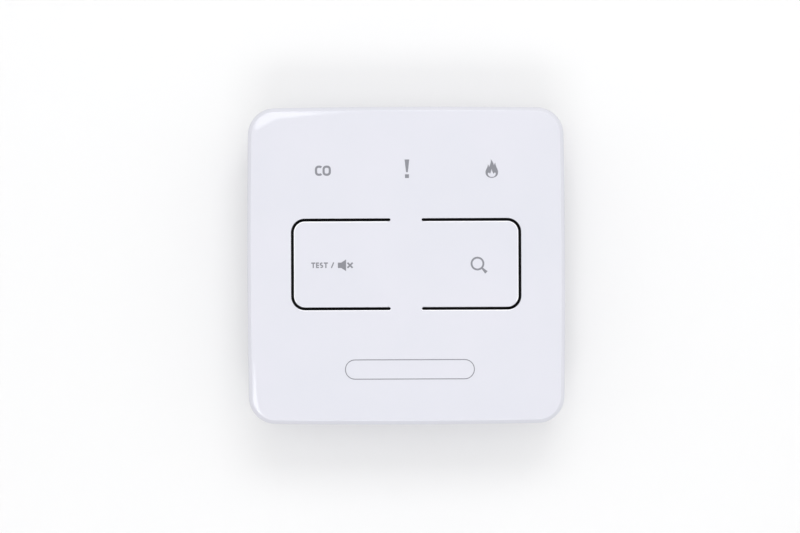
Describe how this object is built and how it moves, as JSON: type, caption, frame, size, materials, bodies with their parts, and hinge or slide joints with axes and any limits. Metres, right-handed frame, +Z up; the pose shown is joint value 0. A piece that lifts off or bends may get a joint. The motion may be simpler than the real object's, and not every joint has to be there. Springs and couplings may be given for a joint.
{
  "type": "alarm control unit",
  "caption": "Square wall-mounted control unit for linked carbon monoxide and fire alarms, with flexing test and locate keys, status lights and a slide-on wall plate.",
  "frame": {"origin": "centre of the wall plate's rear face, on the wall", "axes": "+Z up, +Y into the wall, the front face looks along -Y, +X to the right as seen from the room"},
  "size_m": [0.086, 0.025, 0.086],
  "materials": {
    "case_plastic": "gloss",
    "wall_plate_plastic": "matte",
    "black_plastic": "matte",
    "grey_plastic": "satin",
    "clear_plastic": "gloss",
    "led_epoxy": "gloss",
    "board_laminate": "satin",
    "radio_laminate": "satin",
    "chip_epoxy": "matte",
    "ferrite": "matte",
    "steel": "satin",
    "bright_metal": "satin",
    "plated_wire": "satin",
    "cell_sleeve": "gloss"
  },
  "bodies": {
    "wall_plate": {"wall_plate": "wall_plate_plastic"},
    "unit": {"battery_cell": "cell_sleeve", "board_screw_1": "steel", "board_screw_2": "steel", "board_screw_3": "steel", "board_screw_4": "steel", "capacitor": "bright_metal", "carbon_monoxide_led": "led_epoxy", "carbon_monoxide_light_pipe": "clear_plastic", "case_screw_1": "steel", "case_screw_2": "steel", "case_screw_3": "steel", "case_screw_4": "steel", "circuit_board": "board_laminate", "crystal": "bright_metal", "fire_led": "led_epoxy", "fire_light_pipe": "clear_plastic", "front_cover": "case_plastic", "inductor": "ferrite", "key_surround": "black_plastic", "light_shroud": "black_plastic", "locate_switch": "black_plastic", "memory_chip": "chip_epoxy", "microcontroller": "chip_epoxy", "negative_cell_tab": "bright_metal", "pairing_switch": "black_plastic", "positive_cell_tab": "bright_metal", "power_switch": "black_plastic", "programming_header": "black_plastic", "radio_antenna": "plated_wire", "radio_board": "radio_laminate", "radio_shield": "bright_metal", "rear_housing": "case_plastic", "test_switch": "black_plastic", "voltage_regulator": "chip_epoxy", "warning_led": "led_epoxy", "warning_light_pipe": "clear_plastic"},
    "test_key": {"test_key": "case_plastic"},
    "locate_key": {"locate_key": "case_plastic"},
    "test_plunger": {"test_plunger": "grey_plastic"},
    "locate_plunger": {"locate_plunger": "grey_plastic"},
    "pairing_button": {"pairing_button": "grey_plastic"},
    "pairing_plunger": {"pairing_plunger": "grey_plastic"},
    "power_slider": {"power_slider": "grey_plastic"}
  },
  "joints": [
    {"name": "unit_slide", "type": "slide", "parent": "wall_plate", "child": "unit", "axis": [0, 0, 1], "range_m": [0, 0.0042]},
    {"name": "test_key", "type": "hinge", "parent": "unit", "child": "test_key", "pos_m": [-0.0042, -0.024, 0.0004], "axis": [0, 0, -1], "range_deg": [0, 0.96], "stiffness_Nm_per_rad": 3},
    {"name": "locate_key", "type": "hinge", "parent": "unit", "child": "locate_key", "pos_m": [0.0042, -0.024, 0.0004], "axis": [0, 0, 1], "range_deg": [0, 0.96], "stiffness_Nm_per_rad": 3},
    {"name": "test_plunger", "type": "slide", "parent": "unit", "child": "test_plunger", "axis": [0, 1, 0], "range_m": [0, 0.0003]},
    {"name": "locate_plunger", "type": "slide", "parent": "unit", "child": "locate_plunger", "axis": [0, 1, 0], "range_m": [0, 0.0003]},
    {"name": "pairing_button", "type": "slide", "parent": "unit", "child": "pairing_button", "axis": [0, -1, 0], "range_m": [0, 0.0003], "stiffness_N_per_m": 1000},
    {"name": "pairing_plunger", "type": "slide", "parent": "unit", "child": "pairing_plunger", "axis": [0, -1, 0], "range_m": [0, 0.0003]},
    {"name": "power_slider", "type": "slide", "parent": "unit", "child": "power_slider", "axis": [1, 0, 0], "range_m": [-0.003, 0]}
  ],
  "couplings": [
    {"joint": "test_plunger", "follows": "test_key", "m_per_rad": 0.0178},
    {"joint": "locate_plunger", "follows": "locate_key", "m_per_rad": 0.0178},
    {"joint": "pairing_plunger", "follows": "pairing_button", "ratio": 1}
  ]
}
